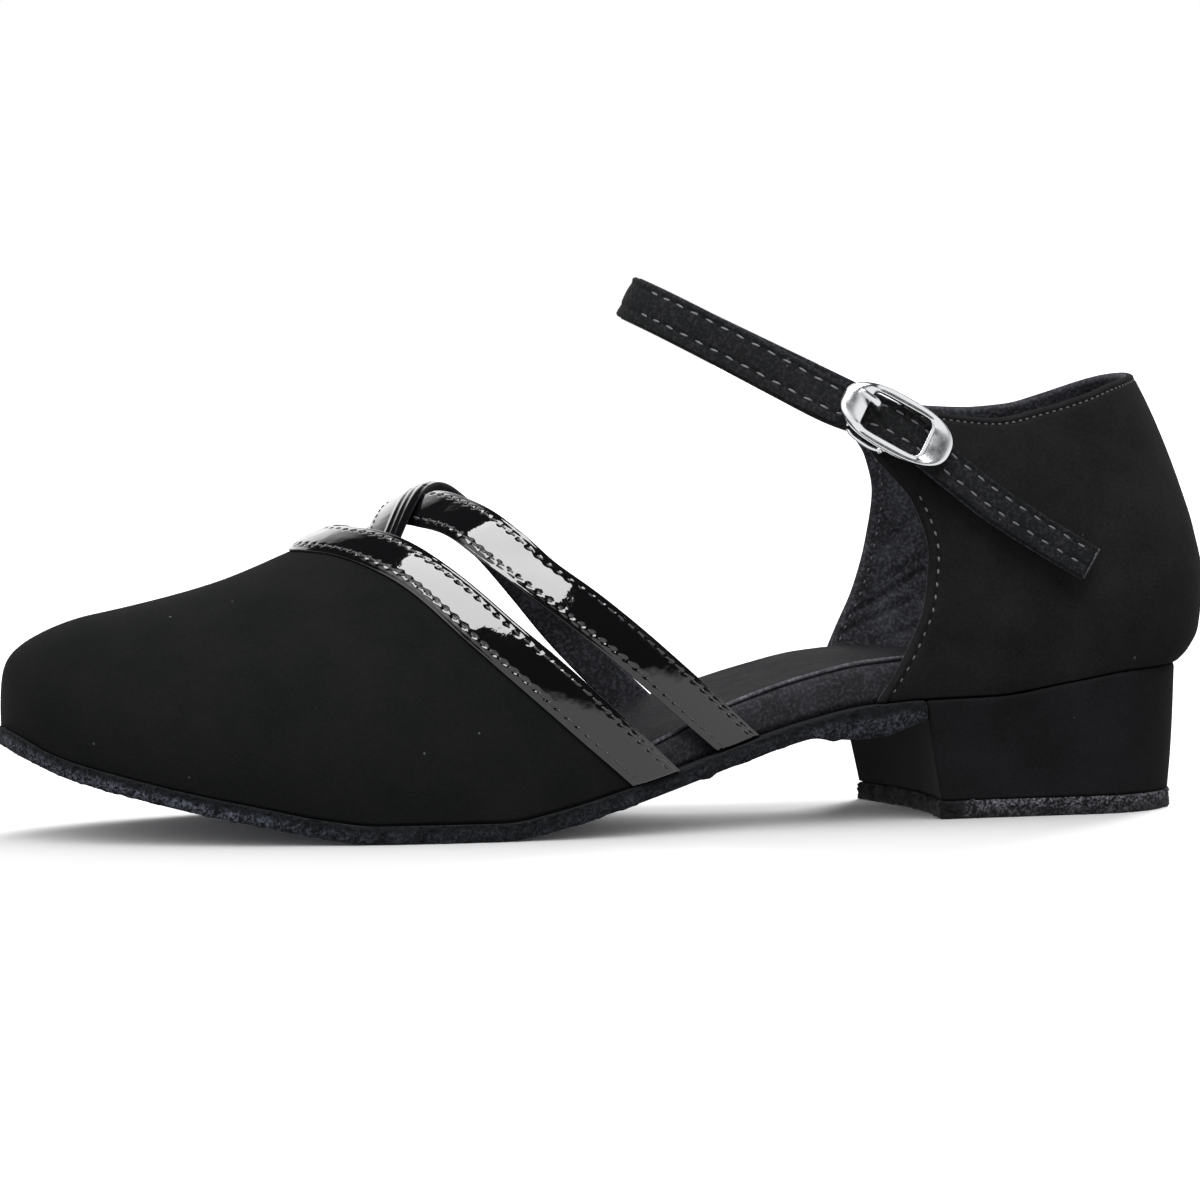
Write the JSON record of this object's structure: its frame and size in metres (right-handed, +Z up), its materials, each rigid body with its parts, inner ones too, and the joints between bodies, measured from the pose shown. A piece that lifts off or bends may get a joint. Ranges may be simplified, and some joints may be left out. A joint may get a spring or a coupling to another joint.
{
  "type": "block heel dance shoe",
  "caption": "Left low block heel dance shoe: closed round toe, open waist, glossy straps crossed at the throat, closed heel cup and a buckled ankle strap.",
  "frame": {"origin": "on the floor, under the middle of the shoe's length and width", "axes": "+X from toe to heel, +Y to the inner side of the foot, +Z up"},
  "size_m": [0.247, 0.084, 0.1086],
  "materials": {
    "nubuck": "matte nubuck with a fine nap",
    "patent": "high gloss patent",
    "strap_leather": "matte",
    "sock_leather": "satin grain",
    "sole_suede": "brushed suede",
    "top_piece": "rough suede",
    "buckle_metal": "polished"
  },
  "bodies": {
    "root": {"outsole": "sole_suede", "insole": "sock_leather", "heel_block": "nubuck", "heel_top_piece": "top_piece", "vamp": "nubuck", "quarter": "nubuck", "vamp_band": "patent", "strap_lateral": "patent", "strap_medial": "patent", "ankle_strap": "strap_leather", "buckle_frame": "buckle_metal", "buckle_prong": "buckle_metal", "buckle_tab": "strap_leather"}
  },
  "joints": []
}
